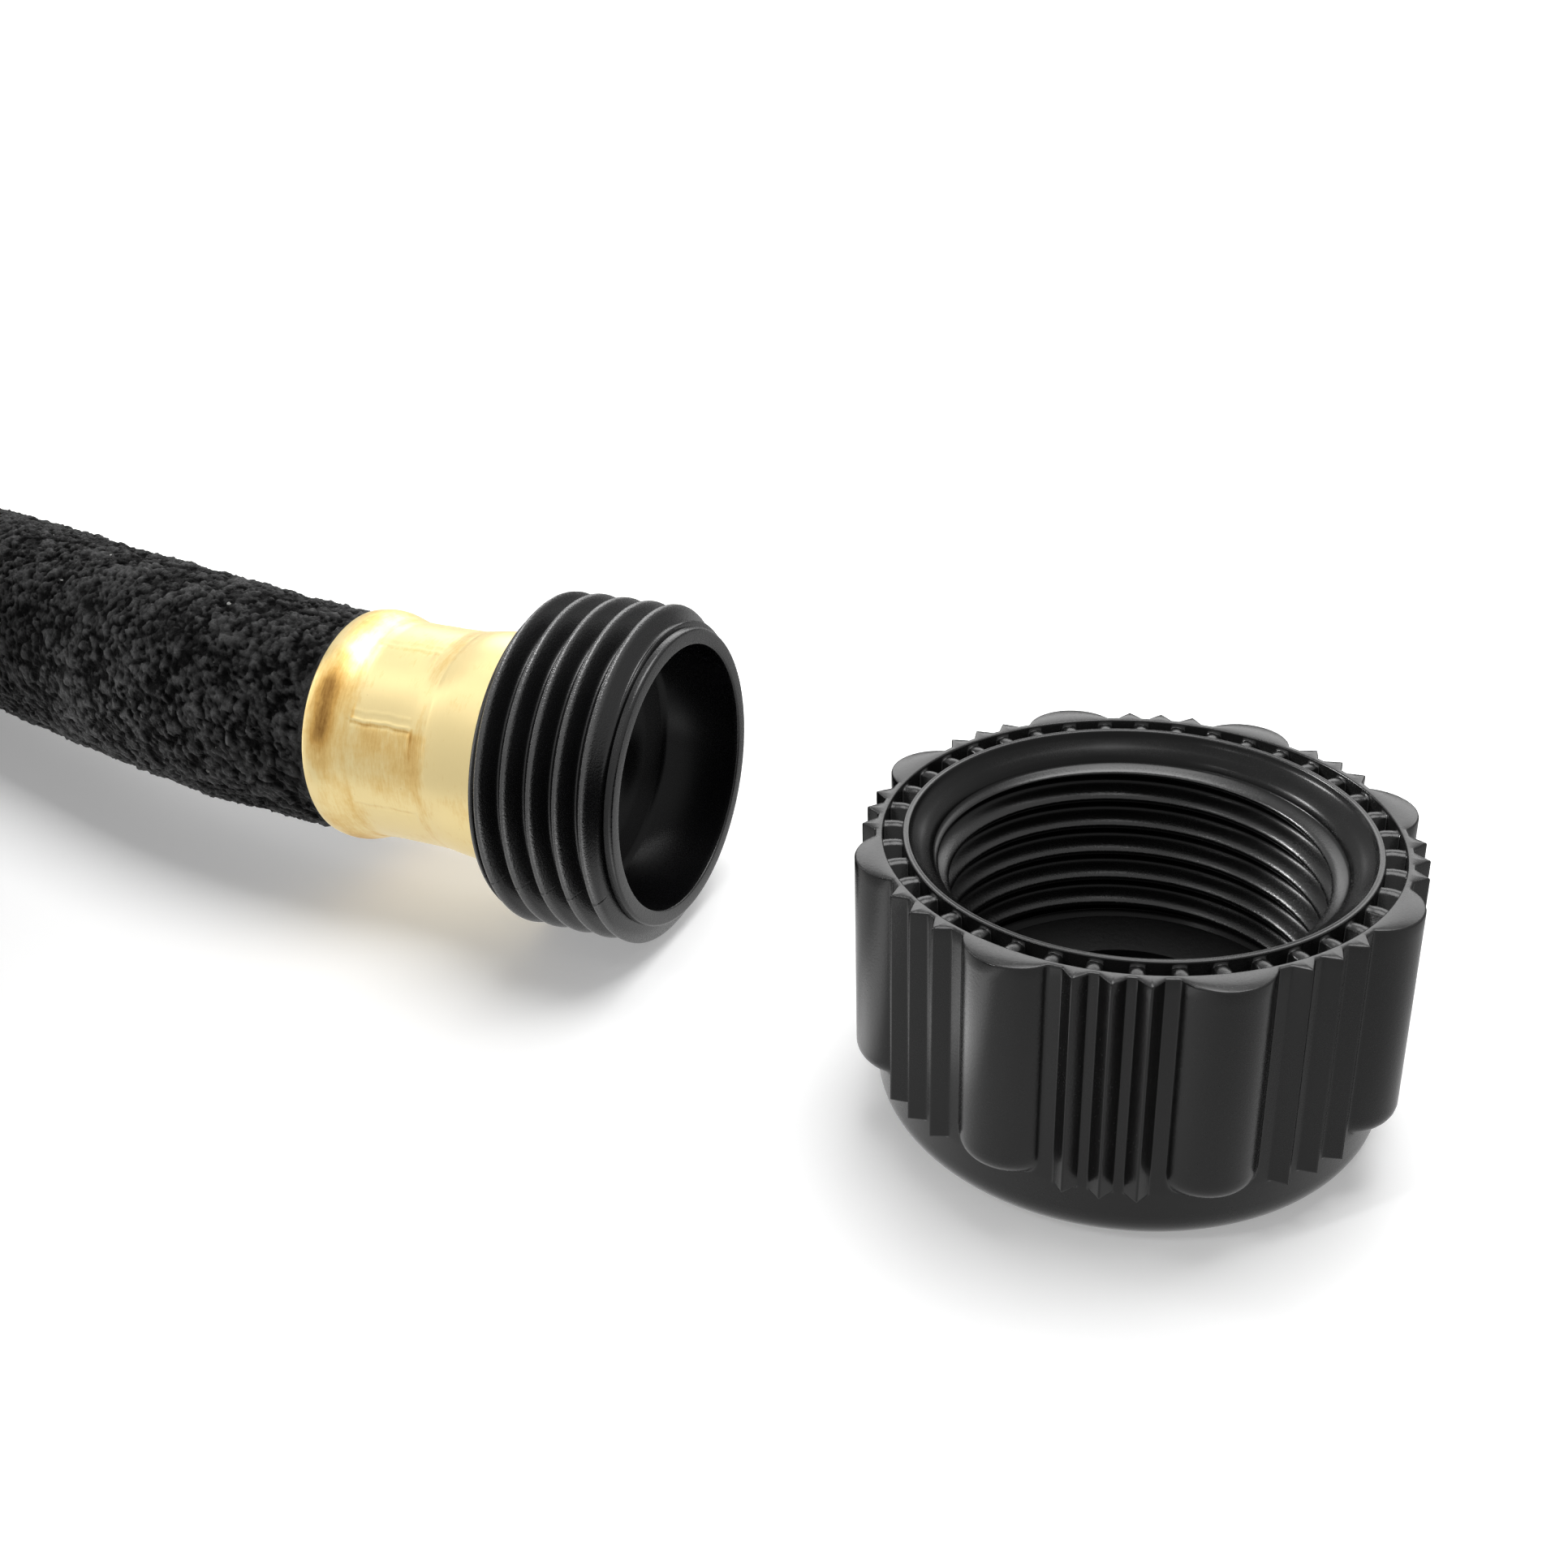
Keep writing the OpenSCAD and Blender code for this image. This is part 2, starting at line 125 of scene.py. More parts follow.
def turned(radius, height, angle):
    """Surface of revolution about local Z: radius and height are (rows,) or (rows, columns) arrays, and
    angle is an array in radians or a number of even columns."""
    if np.isscalar(angle):
        angle = np.arange(angle) * 2 * np.pi / angle
    columns = len(angle)
    radius = np.broadcast_to(radius.reshape(len(radius), -1), (len(radius), columns))
    height = np.broadcast_to(height.reshape(len(height), -1), (len(height), columns))
    return np.stack([radius * np.cos(angle), radius * np.sin(angle), height], axis=-1)


def at_outlet(points):
    """Local Z to +X, local X to -Z: the outlet's own axis into the frame."""
    return np.stack([points[..., 2], points[..., 1], -points[..., 0]], axis=-1)


def at_inlet(points):
    """Local Z to -Y, from the inlet's mouth."""
    return np.stack([points[..., 0], -points[..., 2], points[..., 1]], axis=-1) + INLET_MOUTH


def at_cap(points):
    """Turned about Z by the cap's angle, and set on the floor."""
    c, s = math.cos(math.radians(CAP_TURN)), math.sin(math.radians(CAP_TURN))
    x, y = points[..., 0], points[..., 1]
    return np.stack([c * x - s * y, s * x + c * y, points[..., 2]], axis=-1) + CAP_AT


def smooth(t):
    """Smooth step: 3t^2 - 2t^3 with t held between 0 and 1."""
    t = np.clip(t, 0, 1)
    return t * t * (3 - 2 * t)


def bell(x, width):
    """Bell-shaped bump: 1 at x = 0 and 1/e at a width from there."""
    return np.exp(-((x / width) ** 2))


# --- Noise from hashed lattice cells ------------------------------------------

def hashed(cell, seed):
    """A number from 0 to 1 for each whole-number cell: its coordinates times large primes, mixed by xor and
    shifts."""
    h = cell[..., 0] * 73856093 ^ cell[..., 1] * 19349663 ^ cell[..., 2] * 83492791 ^ seed * 40503
    h = (h ^ (h >> 13)) * 1274126177 & 0xFFFFFFFF
    h = (h ^ (h >> 16)) * 668265263 & 0xFFFFFFFF
    return (h ^ (h >> 15)).astype(np.float64) % 1000003 / 1000003


def value_noise(points, size, seed):
    """Smoothly joined random values of the corners of cubes of that size, from -1 to 1."""
    p = points / size
    cell = np.floor(p).astype(np.int64)
    t = smooth(p - cell)
    total = 0
    for corner in np.ndindex(2, 2, 2):
        weight = np.prod(np.where(np.array(corner) == 1, t, 1 - t), axis=-1)
        total = total + weight * hashed(cell + np.array(corner), seed)
    return total * 2 - 1


def crumbs(points, size, seed):
    """Height of loosely packed crumbs, from 0 to 1: each cube of that size holds one round crumb of its own
    height and place, and the tallest crumb over a point gives its height."""
    p = points / size
    cell = np.floor(p).astype(np.int64)
    best = np.zeros(p.shape[:-1])
    for step in np.ndindex(3, 3, 3):
        near = cell + np.array(step) - 1
        centre = near + np.stack([hashed(near, seed + k) for k in (1, 2, 3)], axis=-1)
        reach = 0.45 + 0.5 * hashed(near, seed + 4)
        flat = 1 - ((p - centre) ** 2).sum(axis=-1) / reach ** 2
        best = np.maximum(best, np.sqrt(np.clip(flat, 0, 1)) * (0.35 + 0.65 * hashed(near, seed + 5)))
    return best


# --- Hose ---------------------------------------------------------------------

def coil_line():
    """Points of the pile of turns: the radius runs in and out at one steady rate, layer by layer, and the
    height climbs one pitch in the half turn where the radius reverses."""
    turns = LAYERS * TURNS_PER_LAYER
    t = np.linspace(0, turns, round(turns * 180) + 1)
    layer = np.minimum(np.floor(t / TURNS_PER_LAYER), LAYERS - 1)
    into = t - layer * TURNS_PER_LAYER
    inner = OUTER_R - TURNS_PER_LAYER * PITCH
    radius = np.where(layer % 2 == 0, OUTER_R - PITCH * into, inner + PITCH * into)
    climbs = sum(smooth((t - k * TURNS_PER_LAYER) / 0.5 + 0.5) for k in range(1, LAYERS))
    angle = np.pi / 2 + 2 * np.pi * t
    centre_y = ENTRY_Y - OUTER_R
    x, y = COIL_X + radius * np.cos(angle), centre_y + radius * np.sin(angle)
    return np.stack([x, y, COIL_Z + PITCH * climbs], axis=-1)


def curve_through(points, before, after, steps=24):
    """Smooth curve through points: cubic Hermite pieces whose tangents are the chords of neighbouring
    points, and at the ends the directions before and after."""
    points = np.array(points, float)
    length = np.linalg.norm(np.diff(points, axis=0), axis=1)
    tangent = np.empty_like(points)
    tangent[1:-1] = (points[2:] - points[:-2]) / (length[1:] + length[:-1])[:, None]
    tangent[0], tangent[-1] = before, after
    t = np.linspace(0, 1, steps, endpoint=False)[:, None]
    pieces = [
        (2 * t**3 - 3 * t**2 + 1) * points[i] + (t**3 - 2 * t**2 + t) * length[i] * tangent[i]
        + (3 * t**2 - 2 * t**3) * points[i + 1] + (t**3 - t**2) * length[i] * tangent[i + 1]
        for i in range(len(points) - 1)
    ]
    return np.concatenate(pieces + [points[-1:]])


def resampled(points, spacing):
    """The same line with points at even steps of its length."""
    along = np.concatenate([[0], np.cumsum(np.linalg.norm(np.diff(points, axis=0), axis=1))])
    keep = np.concatenate([[True], np.diff(along) > 1e-6])
    points, along = points[keep], along[keep]
    want = np.linspace(0, along[-1], max(2, round(along[-1] / spacing) + 1))
    return np.stack([np.interp(want, along, points[:, k]) for k in range(3)], axis=-1)


RUN = [
    (LIP_X, 0, 0), (-36, 0.6, 0), (-44, 2, -0.1), (-53, 4.3, -0.4), (-63, 7.4, -1), (-75, 11.4, -1.8),
    (-89, 15.6, -2.7), (-105, 19.1, -3.3), (-121, 20.7, -3.6), (COIL_X + 2 * HOSE_R, ENTRY_Y, COIL_Z),
]
TAIL = [
    (COIL_X - 2 * HOSE_R, ENTRY_Y, TOP_Z), (-199, 16.4, 58.2), (-219.5, 7.4, 62.8), (-240, -8.4, 69.6),
    (-256.5, -31.2, 75.9), (-267, -57, 80.8), (-271.4, -84, 84.2), (-272, -100, 84.9), tuple(INLET_LIP),
]
run_line = curve_through(RUN, (-1, 0, 0), (-1, 0, 0))
tail_line = curve_through(TAIL, (-1, 0, 0), (0, -1, 0))
hose_line = np.concatenate([run_line, coil_line(), tail_line])
INSIDE = 1.6  # how far the drawn hose reaches into each ferrule


def tube_rings(line, columns):
    """Directions from a line of points to rings of that many columns square to it, the first column on
    top."""
    direction = np.gradient(line, axis=0)
    direction /= np.linalg.norm(direction, axis=1)[:, None]
    side = np.cross(direction, [0, 0, 1.0])
    side /= np.linalg.norm(side, axis=1)[:, None]
    above = np.cross(side, direction)
    angle = np.arange(columns) * 2 * np.pi / columns
    return above[:, None] * np.cos(angle)[:, None] + side[:, None] * np.sin(angle)[:, None]


def swollen(from_end):
    """Radius of the hose at a distance from a ferrule's lip: held thinner there, it swells over 16 mm."""
    return GRIPPED_R + (HOSE_R - GRIPPED_R) * smooth((from_end + 4) / 20)


def make_hose():
    """The tube: a finely crumbled stretch next to the outlet and a plainer one for the rest, whose crumbs
    are in its material. The fine stretch's surface is the radius plus packed crumbs of two sizes, in a grid
    that noise bends so that no crumb stays round, and slow swells."""
    fine_end, step = 66.0, 0.25
    ends = [[LIP_X + INSIDE, 0, 0]], [INLET_LIP - [0, INSIDE, 0]]
    line = resampled(np.concatenate([ends[0], hose_line, ends[1]]), step)
    along = np.arange(len(line)) * step
    radius = swollen(np.minimum(along, along[-1] - along) - INSIDE)
    fine = along <= fine_end
    rings = tube_rings(line[fine], 264)
    skin = line[fine][:, None] + rings * HOSE_R
    bent = skin + 0.34 * np.stack([value_noise(skin, 0.75, 41 + k) for k in range(3)], axis=-1)
    rough = 0.40 * crumbs(bent, 0.82, 11) ** 0.7 + 0.28 * crumbs(bent, 0.44, 23)
    rough = rough + 0.12 * value_noise(skin, 3.1, 31)
    rough += 0.10 * value_noise(bent, 0.33, 37)
    fade = np.minimum(smooth((along[fine] - INSIDE) / 1.2), smooth((fine_end - along[fine]) / 4))[:, None]
    grid = line[fine][:, None] + rings * (radius[fine][:, None] - 0.05 + fade * (rough - 0.52))[..., None]
    rest = along >= fine_end - 2
    keep = np.flatnonzero(rest)[::38]
    keep = np.append(keep[:-1], len(line) - 1)
    plain = line[keep][:, None] + tube_rings(line[keep], 30) * (radius[keep] - 0.05)[:, None, None]
    own = np.broadcast_to(1 - smooth((fine_end - along[fine]) / 4)[:, None], rough.shape)
    depth = np.clip(rough * fade + 0.42 * (1 - fade), 0, 1) * (1 - own)
    return make_mesh("hose", [grid, plain], {"crumb": [depth, np.zeros(plain.shape[:2])],
                                             "plain": [own, np.ones(plain.shape[:2])]})


# --- Threads ------------------------------------------------------------------

def thread_table(crest, flank, round_off):
    """One pitch of a thread as heights from 0 at the root to 1 at the crest, crest in the middle: a flat
    crest of half width crest, straight flanks of width flank, all in mm, rounded by a bell-shaped average
    of width round_off."""
    x = np.linspace(-THREAD_PITCH / 2, THREAD_PITCH / 2, 400, endpoint=False)
    height = np.clip((crest + flank - np.abs(x)) / flank, 0, 1)
    weight = np.exp(-0.5 * (x / round_off) ** 2)
    weight = np.fft.ifftshift(weight / weight.sum())
    rounded = np.real(np.fft.ifft(np.fft.fft(height) * np.fft.fft(weight)))
    return x, (rounded - rounded.min()) / (rounded.max() - rounded.min())


def thread_height(height, angle, start, table):
    """Thread height at a place: a right-hand helix moves up one pitch per turn, so the place within a pitch
    is the height less the start and less the angle's share of a pitch."""
    place = height - start - THREAD_PITCH * angle / (2 * np.pi)
    place = (place + THREAD_PITCH / 2) % THREAD_PITCH - THREAD_PITCH / 2
    return np.interp(place, *table, period=THREAD_PITCH)


MALE = thread_table(crest=0.17, flank=0.82, round_off=0.08)
FEMALE = thread_table(crest=0.10, flank=0.72, round_off=0.28)


def arc(centre_r, centre_h, radius, start, end, count):
    """Points (radius, height) of an arc, angles in degrees from the outward direction towards up."""
    a = np.radians(np.linspace(start, end, count))
    return [(centre_r + radius * math.cos(v), centre_h + radius * math.sin(v)) for v in a]


# --- Outlet coupling ----------------------------------------------------------

COUPLING_BACK = -10.6
CREST_R = 13.4
PARTING_AT = math.radians(-68.8)


def make_coupling():
    """Moulded coupling turned about its axis: back to front on the outside, then down the bore. Its radius
    follows the thread, held under a limit that chamfers the first turn and cuts a narrow neck behind the
    rim. A fine mould line runs along it, for which the columns crowd together there. The attribute dull is
    1 in the bore, where less gloss paints shade, and below 0 on the crests, where more gloss paints sheen."""
    near = np.array([-0.32, -0.2, -0.12, -0.07, -0.035, 0.0, 0.035, 0.07, 0.12, 0.2, 0.32]) / CREST_R
    even = np.arange(288) * 2 * np.pi / 288
    apart = (even - PARTING_AT + np.pi) % (2 * np.pi) - np.pi
    angle = np.sort(np.concatenate([even[np.abs(apart) > 0.4 / CREST_R], (PARTING_AT + near) % (2 * np.pi)]))
    apart = (angle - PARTING_AT + np.pi) % (2 * np.pi) - np.pi
    columns = len(angle)
    stem = [(4.8, -27.15), (5.6, -27.15), (6.1, -26.55)]
    for k in (2, 1, 0):
        back = -12.45 - 4.2 * k
        stem += [(6.1, back - 4.2), (6.8, back), (6.1, back)]
    stem += [(6.1, -12.05), (8.6, -12.05), (8.6, COUPLING_BACK - 0.05), (12.5, COUPLING_BACK)]
    stem += arc(12.45, COUPLING_BACK + 0.35, 0.35, -80, -10, 5)
    outer = np.array(stem)
    height = np.linspace(COUPLING_BACK + 0.4, 0.72, 200)
    limit = np.interp(
        height,
        [COUPLING_BACK + 0.4, COUPLING_BACK + 0.8, -0.02, 0.36, 0.41, 0.50, 0.54, 0.72],
        [12.95, 13.45, 13.45, 11.95, 11.45, 11.45, 11.9, 11.9],
    )
    wave = thread_height(height[:, None], angle[None], 0.05, MALE)
    wave = np.maximum(wave, 0.62 * smooth((COUPLING_BACK + 0.95 - height) / 0.5)[:, None])
    thread = np.minimum(11.98 + 1.47 * wave, limit[:, None])
    across = apart * CREST_R
    line = bell(across, 0.05) - 0.35 * bell(across - 0.14, 0.09)
    thread = thread - 0.09 * line[None] * smooth(wave * 2.0 - 0.4)
    front = np.array(
        arc(11.62, 0.92, 0.28, 0, 90, 7) + arc(10.76, 1.04, 0.16, 90, 180, 5)
        + [(10.6, 0.6), (10.6, -5.3), (9.9, -5.75), (8.6, -6.4), (4.8, -8.3), (4.8, -15), (4.8, -27.15)]
    )
    radius = np.concatenate([np.broadcast_to(outer[:, :1], (len(outer), columns)), thread,
                             np.broadcast_to(front[:, :1], (len(front), columns))])
    level = np.concatenate([outer[:, 1], height, front[:, 1]])
    shade_and_sheen = np.zeros(radius.shape)
    # Painted shade: the bore shines less.
    shade_and_sheen[len(outer) + len(height) + 12 :] = 1
    # Painted sheen: the thread's crests shine more.
    shade_and_sheen[len(outer) : len(outer) + len(height)] = -2.4 * smooth(wave * 3.3 - 2.3)
    return make_mesh("outlet_coupling_moulding", [at_outlet(turned(radius, level, angle))], {"shade_and_sheen": [shade_and_sheen]})


# --- Ferrules -----------------------------------------------------------------

DIES = 8
WAIST_R = 9.05
SEAM_AT = math.radians(-120.4)


def ferrule_wear_and_shade(grid, rows, angle):
    """How brown each point of a ferrule is, and where its dies chattered: a stain on the flare at the seam,
    browning round the flare and at the waist's two feet, small spots, and a hatched field on one side of the
    seam that painted shade darkens."""
    away = (angle - SEAM_AT + np.pi) % (2 * np.pi) - np.pi
    under = away * WAIST_R
    spots = np.clip(value_noise(grid, 3.4, 51) * 0.6 + value_noise(grid, 1.2, 53) * 0.4, 0, 1)
    stain = bell(away - 0.05, 0.42)[None] * bell(rows + 15.5, 1.2)
    crown = bell(rows + 15.6, 1.3) * np.clip(0.30 + 0.5 * value_noise(grid, 5.5, 57), 0, 1)
    foot = bell(rows + 13.7, 0.4) * 0.18 + bell(rows + 6.9, 0.5) * 0.12
    waist = smooth((rows + 13.9) / 1.6) * smooth((-5.6 - rows) / 2.0)
    # Painted shade: a darker band round the waist on one side of the seam.
    shade = (smooth((under - 0.1) / 0.5) * smooth((7.2 - under) / 4.0))[None] * waist
    hatch = (smooth((under - 0.2) / 0.5) * smooth((3.0 - under) / 1.2))[None]
    hatch = hatch * smooth((rows + 12.3) / 1.5) * smooth((-5.6 - rows) / 0.6)
    return 0.48 * stain + crown + foot + 0.16 * spots + 0.30 * shade, hatch


def make_ferrule(name, seat, place):
    """Thin sleeve, crimped in its waist by eight dies. The outer radius is a smooth profile, less each
    die's flat, which is a parabola across the die, plus a fine crease between neighbouring dies and a small
    step where a die's end bit. The attributes tarnish, which carries painted shade as well as stains, and
    hatch are kept for the material."""
    columns = 440
    angle = np.arange(columns) * 2 * np.pi / columns
    stations, profile = np.array([
        (-17.2, 9.58), (-16.9, 9.66), (-16.4, 9.72), (-15.8, 9.70), (-15.2, 9.58), (-14.5, 9.34),
        (-13.8, 9.12), (-13.0, WAIST_R), (-7.7, 9.06), (-7.0, 9.10), (-6.2, 9.20), (-5.4, 9.35),
        (-4.6, 9.44), (-3.4, 9.47), (-1.5, 9.46), (-0.12, 9.45), (0, 9.36),
    ]).T
    spans = (-17.2, -14.6, 22), (-14.5, -6.2, 96), (-6.1, 0, 26)
    height = np.concatenate([np.linspace(*span) for span in spans])
    outer = np.interp(height, stations, profile)
    kernel = np.array([1, 2, 3, 2, 1]) / 9
    for _ in range(2):
        outer[2:-2] = np.convolve(outer, kernel, "valid")
    half = np.pi / DIES
    apart = (angle - SEAM_AT + half) % (2 * half) - half
    across = apart * WAIST_R
    number = np.round((angle - SEAM_AT) / (2 * half)).astype(int) % DIES
    die = np.floor((angle - SEAM_AT) / (2 * half)).astype(int) % DIES
    sharp = np.array([1.0, 0.35, 0.6, 0.3, 0.8, 0.4, 0.7, 0.3])[number]
    shift = np.array([0.0, 0.3, -0.2, 0.15, -0.3, 0.2, 0.1, -0.35])[die]
    h = height[:, None]
    zone = smooth((h + 14.0) / 1.3) * smooth((-6.6 - h) / 1.3)
    flat = -0.075 * (1 - (1 - np.abs(apart) / half) ** 2)[None] * zone
    line_zone = smooth((h + 13.5) / 0.3) * smooth((-7.6 - h) / 0.4)
    wander = across[None] + 0.05 * np.sin(h * 1.7) + 0.03 * np.sin(h * 4.3)
    crease = 0.085 * bell(wander, 0.13) - 0.07 * bell(wander - 0.34, 0.16) + 0.03 * bell(wander + 0.75, 0.12)
    crease = crease * sharp[None] * line_zone
    near = bell(across, 1.9)[None] * sharp[None]
    above, below = smooth(0.5 - across / 0.5)[None], smooth(0.5 + across / 0.5)[None]
    lip_side = above * smooth((h + 13.6 + shift[None]) / 0.2) + below * smooth((h + 14.3) / 2.2)
    flare_side = below * smooth((-7.7 + shift[None] - h) / 0.3) + above * smooth((-6.8 - h) / 2.4)
    radius = outer[:, None] + flat + crease - 0.085 * near * lip_side * flare_side
    # Painted shade: dark lines along the crease and at the steps where the dies' ends bit, which go into the
    # brown.
    crease_and_step_shade = 0.45 * bell(wander - 0.22, 0.11) * line_zone * sharp[None]
    crease_and_step_shade = crease_and_step_shade + 0.40 * near * above * bell(h + 13.55 + shift[None], 0.14)
    crease_and_step_shade = crease_and_step_shade + 0.40 * near * below * bell(h + 7.6 - shift[None], 0.14)
    radius = radius + 0.012 * np.sin(3 * angle[None] + h * 0.5) * zone
    skin = np.stack(np.broadcast_arrays(radius * np.cos(angle), radius * np.sin(angle), h), axis=-1)
    lip = np.array([(9.25, -15.3), (9.25, -17.2)] + arc(9.415, -17.2, 0.165, 180, 360, 7)[1:-1])
    inner = np.array([(9.36, -0.02), (8.95, -0.02), (8.95, -5.2), (8.55, -7.4), (8.55, -13.8), (9.25, -15.3)])
    rolled, lining = turned(lip[:, 0], lip[:, 1], columns), turned(inner[:, 0], inner[:, 1], columns)
    grid = np.concatenate([rolled, skin, lining])
    rows = np.concatenate([lip[:, 1], height, inner[:, 1]])[:, None]
    tarnish_and_shade, hatch = ferrule_wear_and_shade(grid, rows, angle)
    tarnish_and_shade = np.clip(tarnish_and_shade + np.pad(crease_and_step_shade, ((len(lip), len(inner)), (0, 0))), 0, 1)
    grid[..., 2] += seat
    return make_mesh(name, [place(grid)], {"tarnish_and_shade": [tarnish_and_shade], "hatch": [hatch + np.zeros_like(tarnish_and_shade)]})


# --- Moulded grip of the cap and the nut --------------------------------------

GRIP_H = 20.4
BODY_R = 17.5
ROOT_R = 13.65


def outline(columns):
    """Height of lobes and ribs above the round body for each column: lobes are arcs of circles set near the
    wall, ribs are triangles on their feet."""
    angle = np.arange(columns) * 360 / columns
    apart = np.radians((angle + 22.5) % 45 - 22.5)
    centre, radius = 19.1 - 3.3, 3.3
    reach = radius**2 - (centre * np.sin(apart)) ** 2
    lobe = np.where(reach > 0, centre * np.cos(apart) + np.sqrt(np.clip(reach, 0, None)), 0) - BODY_R
    lobe = np.clip(lobe, 0, None)
    rib = np.zeros(columns)
    for step in (-7.2, 0, 7.2):
        off = np.radians((angle - 22.5 - step + 22.5) % 45 - 22.5) * BODY_R
        rib = np.maximum(rib, 0.9 * np.clip(1 - np.abs(off) / 0.82, 0, 1))
    return lobe, rib


def make_grip(name, place, bore_depth, floor_depth, hole_r):
    """Cap or nut as one turned skin: up the outside, over the rim with its barred channel and down the
    bore, which is a second, coarser grid that follows the thread. hole_r is 0 for the cap and the back
    hole's radius for the nut. The attribute dull is near 1 on the mouth's inner bevel and in the bore's
    roots, where less gloss paints shade, and below 0 on the bore's crests, where more gloss paints sheen."""
    columns = 1200
    lobe, rib = outline(columns)
    lobe_shape = smooth((lobe + 0.12) / 0.24) * lobe
    corner = np.array(arc(BODY_R - 2.75, 2.6, 2.6, -82, 0, 9))
    levels = [0.0, 0.0, *corner[:, 1]]
    radii = [max(hole_r, 0.01), BODY_R - 3.1, *corner[:, 0]]
    rows_r = [np.full(columns, r) for r in radii]
    rows_z = [np.full(columns, z) for z in levels]
    foot_levels = [4.35, 4.5, 4.56, 4.64, 4.8, 5.0, 5.25, 5.55, 5.9, 6.3]
    for z in foot_levels + [9.0, 14.0, GRIP_H - 1, GRIP_H - 0.14, GRIP_H - 0.04, GRIP_H]:
        end = 1 - np.clip((z - 4.5) / 1.5, 0, 1)
        cut = 1.75 * (1 - math.sqrt(max(0, 1 - end * end)))
        height = np.clip(lobe_shape - cut, 0, None) if z >= 4.5 else np.zeros(columns)
        height = np.maximum(height, rib if z >= 4.56 else 0)
        body = BODY_R - 0.15 * smooth(1 - (z - 2.6) / 2.2)
        edge = {GRIP_H - 0.04: 0.04, GRIP_H: 0.14}.get(z, 0.0)
        rows_r.append(body + height - edge)
        rows_z.append(np.full(columns, z))
    angle = np.arange(columns) * 360 / columns
    across = np.abs((angle + 4.5) % 9 - 4.5) * math.radians(1) * 16.45
    round_top = np.sqrt(np.clip(1 - (across / 0.62) ** 2, 0, 1))
    bar = GRIP_H - 0.72 + 0.42 * round_top
    deep = GRIP_H - 2.5
    low = np.where(across < 0.56, bar, deep)
    top = GRIP_H
    for r, z in [
        (17.12, top), (17.03, top - 0.03), (17.0, top - 0.1), (17.0, np.minimum(low, top - 0.12)),
        (16.9, low - 0.02), (16.5, low + 0.03), (16.1, low + 0.03), (15.75, low - 0.02),
        (15.66, np.minimum(low, top - 0.12)),
        (15.66, top - 0.1), (15.63, top - 0.03), (15.56, top), (15.48, top - 0.05), (15.40, top - 0.05),
        (15.32, top), (15.26, top - 0.03), (15.2, top - 0.12), (15.15, top - 0.32), (14.98, top - 0.52),
        (14.42, top - 0.92), (13.92, top - 1.28), (13.73, top - 1.5), (ROOT_R, top - 1.75),
    ]:
        rows_r.append(np.full(columns, float(r)))
        rows_z.append(np.broadcast_to(np.asarray(z, float), (columns,)))
    shell = turned(np.array(rows_r), np.array(rows_z), columns)
    inner_columns = 256
    turn = np.arange(inner_columns) * 2 * np.pi / inner_columns
    level = np.linspace(top - 1.7, top - bore_depth, 140)
    wave = thread_height(level[:, None], turn[None], 0.2, FEMALE)
    fade = smooth((top - 1.72 - level) / 0.5) * smooth((level - top + bore_depth - 0.1) / 0.8)
    wave = wave * fade[:, None]
    bore_r = ROOT_R - 1.12 * wave
    last = [(12.9, top - bore_depth), (12.9, top - floor_depth), (max(hole_r, 0.01), top - floor_depth)]
    if hole_r:
        last.append((hole_r, 0.0))
    last = np.array(last)
    bore = turned(
        np.concatenate([bore_r, np.broadcast_to(last[:, :1], (len(last), inner_columns))]),
        np.concatenate([level, last[:, 1]]), inner_columns,
    )
    shade_and_sheen = np.zeros(shell.shape[:2])
    # Painted shade: the mouth's inner bevel shines less.
    shade_and_sheen[-7:] = 0.9
    depths = np.ones(bore.shape[:2])
    # Painted shade in the bore's roots and painted sheen on its crests, by their gloss.
    depths[: len(level)] -= 1.9 * wave
    return make_mesh(name, [place(shell), place(bore)], {"shade_and_sheen": [shade_and_sheen, depths]})


# --- Materials ----------------------------------------------------------------

def srgb(text):
    """Linear RGBA of a colour written as #rrggbb."""
    values = [int(text[i : i + 2], 16) / 255 for i in (1, 3, 5)]
    return [v / 12.92 if v <= 0.04045 else ((v + 0.055) / 1.055) ** 2.4 for v in values] + [1.0]


def cells(width):
    """Scale of a texture, read in metres, whose cells are that many mm wide."""
    return 1 / (width * MM)


def node(tree, kind, inputs=None, stops=(), **settings):
    """A new shader node. settings are its properties, and inputs its sockets by name or number, each a
    value, a socket, or a node, which stands for its first output. stops are the places and colours of a
    colour ramp."""
    made = tree.nodes.new("ShaderNode" + kind)
    for key, value in settings.items():
        setattr(made, key, value)
    for key, value in (inputs or {}).items():
        if isinstance(value, bpy.types.Node):
            value = value.outputs[0]
        if isinstance(value, bpy.types.NodeSocket):
            tree.links.new(value, made.inputs[key])
        else:
            made.inputs[key].default_value = value
    for number, (place, colour) in enumerate(stops):
        bar = made.color_ramp.elements
        stop = bar[number] if number < len(bar) else bar.new(place)
        stop.position = place
        stop.color = srgb(colour) if isinstance(colour, str) else (colour, colour, colour, 1)
    return made


def bare_tree(owner):
    """The empty node tree of a material or a world."""
    owner.use_nodes = True
    owner.node_tree.nodes.clear()
    return owner.node_tree


def new_material(name, **principled):
    """A material with one Principled shader: returns it, its tree, the shader and Object coordinates."""
    material = bpy.data.materials.new(name)
    tree = bare_tree(material)
    settings = {key.replace("_", " "): value for key, value in principled.items()}
    shader = node(tree, "BsdfPrincipled", settings)
    node(tree, "OutputMaterial", {"Surface": shader})
    return material, tree, shader, node(tree, "TexCoord").outputs["Object"]


